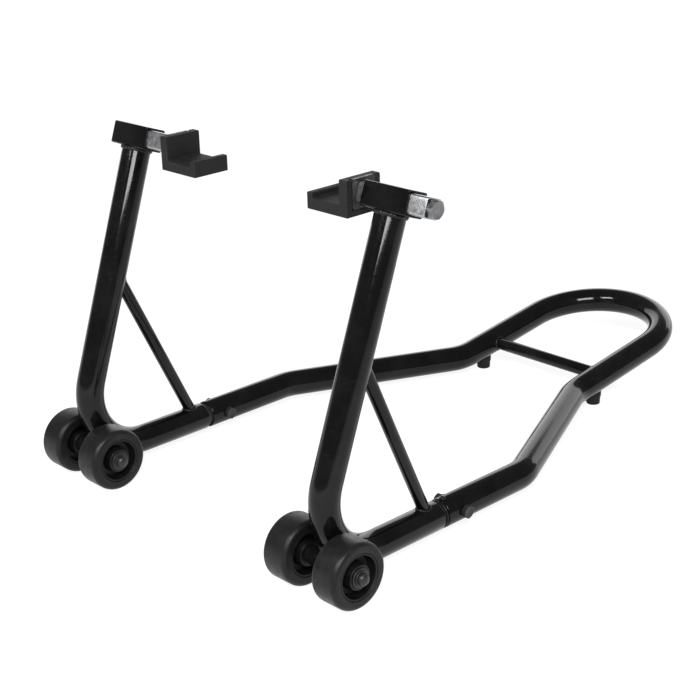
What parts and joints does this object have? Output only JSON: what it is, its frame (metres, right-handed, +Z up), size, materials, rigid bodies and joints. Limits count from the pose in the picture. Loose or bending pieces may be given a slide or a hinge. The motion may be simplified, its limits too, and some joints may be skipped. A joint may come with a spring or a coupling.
{
  "type": "motorcycle paddock stand",
  "caption": "Black tubular rear paddock stand on twin small wheels, with leaning uprights, sliding and turning rubber rests and a long looped lift handle.",
  "frame": {"origin": "middle of the footprint on the floor; the symmetry plane is X = 0", "axes": "+Z up, +Y from the wheels towards the handle's grip, +X to the stand's right seen from the wheels looking at the grip"},
  "size_m": [0.5109, 0.7995, 0.3926],
  "materials": {
    "black_paint": "gloss black powder coat",
    "black_rubber": "matte black rubber",
    "wheel_rubber": "matte dark grey hard rubber",
    "wheel_plastic": "matte dark grey plastic",
    "black_plastic": "matte black plastic",
    "zinc_steel": "bright zinc plate",
    "black_steel": "black oxide steel"
  },
  "bodies": {
    "frame": {"handle_tube": "black_paint", "crossbar": "black_paint", "leg_tube_left": "black_paint", "brace_left": "black_paint", "head_box_left": "black_paint", "axle_sleeve_left": "black_paint", "spigot_left": "black_steel", "handle_bolt_left": "black_steel", "handle_nut_left": "black_steel", "handle_washer_left": "black_steel", "axle_left": "black_steel", "foot_left": "black_rubber", "foot_screw_left": "zinc_steel", "axle_cap_left_outer": "black_steel", "axle_washer_left_outer": "black_steel", "axle_cap_left_inner": "black_steel", "axle_washer_left_inner": "black_steel", "leg_tube_right": "black_paint", "brace_right": "black_paint", "head_box_right": "black_paint", "axle_sleeve_right": "black_paint", "spigot_right": "black_steel", "handle_bolt_right": "black_steel", "handle_nut_right": "black_steel", "handle_washer_right": "black_steel", "axle_right": "black_steel", "foot_right": "black_rubber", "foot_screw_right": "zinc_steel", "axle_cap_right_outer": "black_steel", "axle_washer_right_outer": "black_steel", "axle_cap_right_inner": "black_steel", "axle_washer_right_inner": "black_steel"},
    "wheel_left_outer": {"tyre_left_outer": "wheel_rubber", "hub_left_outer": "wheel_plastic", "bush_left_outer": "black_steel"},
    "wheel_left_inner": {"tyre_left_inner": "wheel_rubber", "hub_left_inner": "wheel_plastic", "bush_left_inner": "black_steel"},
    "slider_left": {"slider_left": "zinc_steel", "slider_plug_left": "black_plastic", "clamp_bolt_left": "zinc_steel"},
    "rest_left": {"pad_left": "black_rubber", "pad_plate_left": "black_steel", "pad_nut_left": "zinc_steel"},
    "wheel_right_outer": {"tyre_right_outer": "wheel_rubber", "hub_right_outer": "wheel_plastic", "bush_right_outer": "black_steel"},
    "wheel_right_inner": {"tyre_right_inner": "wheel_rubber", "hub_right_inner": "wheel_plastic", "bush_right_inner": "black_steel"},
    "slider_right": {"slider_right": "zinc_steel", "slider_plug_right": "black_plastic", "clamp_bolt_right": "zinc_steel"},
    "rest_right": {"pad_right": "black_rubber", "pad_plate_right": "black_steel", "pad_nut_right": "zinc_steel"}
  },
  "joints": [
    {"name": "wheel_left_outer_spin", "type": "hinge", "parent": "frame", "child": "wheel_left_outer", "pos_m": [-0.2283, -0.3648, 0.0349], "axis": [1, 0, 0], "continuous": true},
    {"name": "wheel_left_inner_spin", "type": "hinge", "parent": "frame", "child": "wheel_left_inner", "pos_m": [-0.1583, -0.3648, 0.0349], "axis": [1, 0, 0], "continuous": true},
    {"name": "wheel_right_outer_spin", "type": "hinge", "parent": "frame", "child": "wheel_right_outer", "pos_m": [0.2283, -0.3648, 0.0349], "axis": [1, 0, 0], "continuous": true},
    {"name": "wheel_right_inner_spin", "type": "hinge", "parent": "frame", "child": "wheel_right_inner", "pos_m": [0.1583, -0.3648, 0.0349], "axis": [1, 0, 0], "continuous": true},
    {"name": "slider_left_slide", "type": "slide", "parent": "frame", "child": "slider_left", "axis": [1, 0, 0], "range_m": [-0.0286, 0.0039]},
    {"name": "slider_right_slide", "type": "slide", "parent": "frame", "child": "slider_right", "axis": [-1, 0, 0], "range_m": [0, 0.0355]},
    {"name": "rest_left_tilt", "type": "hinge", "parent": "slider_left", "child": "rest_left", "pos_m": [-0.1284, -0.26492, 0.37718], "axis": [1, 0, 0], "range_deg": [-90, 90]},
    {"name": "rest_right_tilt", "type": "hinge", "parent": "slider_right", "child": "rest_right", "pos_m": [0.16, -0.26492, 0.37718], "axis": [1, 0, 0], "range_deg": [-90, 90]}
  ]
}
